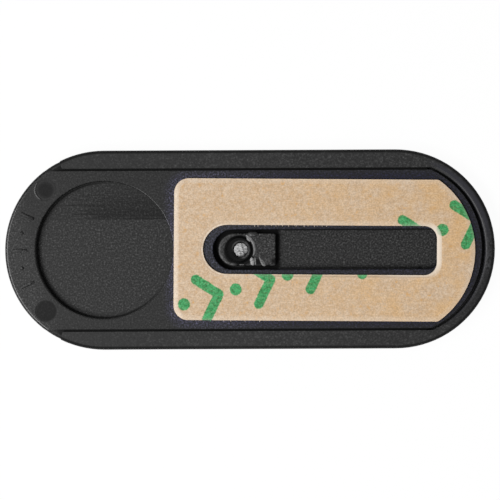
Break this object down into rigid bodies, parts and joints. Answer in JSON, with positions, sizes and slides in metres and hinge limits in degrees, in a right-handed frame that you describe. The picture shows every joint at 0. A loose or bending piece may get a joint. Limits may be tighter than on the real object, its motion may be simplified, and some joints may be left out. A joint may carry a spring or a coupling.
{
  "type": "webcam cover slider",
  "caption": "Flat black slider with round ends: a railed cover runs on a stick-on base plate and opens or closes a round camera opening.",
  "frame": {"origin": "under the middle of the part, on the cover's front face", "axes": "+X along the slide from the camera opening to the closed end, +Y across, +Z out of the adhesive side"},
  "size_m": [0.042, 0.017, 0.002],
  "materials": {
    "cover_plastic": "fine spark-eroded moulding texture",
    "base_plastic": "fine spark-eroded moulding texture",
    "pad_tape": "tacky acrylic tape",
    "liner_paper": "kraft paper, silicone coated"
  },
  "bodies": {
    "base": {"base_plate": "base_plastic", "adhesive_pad": "pad_tape", "release_liner": "liner_paper"},
    "cover": {"cover": "cover_plastic"}
  },
  "joints": [
    {"name": "cover_slide", "type": "slide", "parent": "base", "child": "cover", "axis": [1, 0, 0], "range_m": [0, 0.01369]}
  ]
}
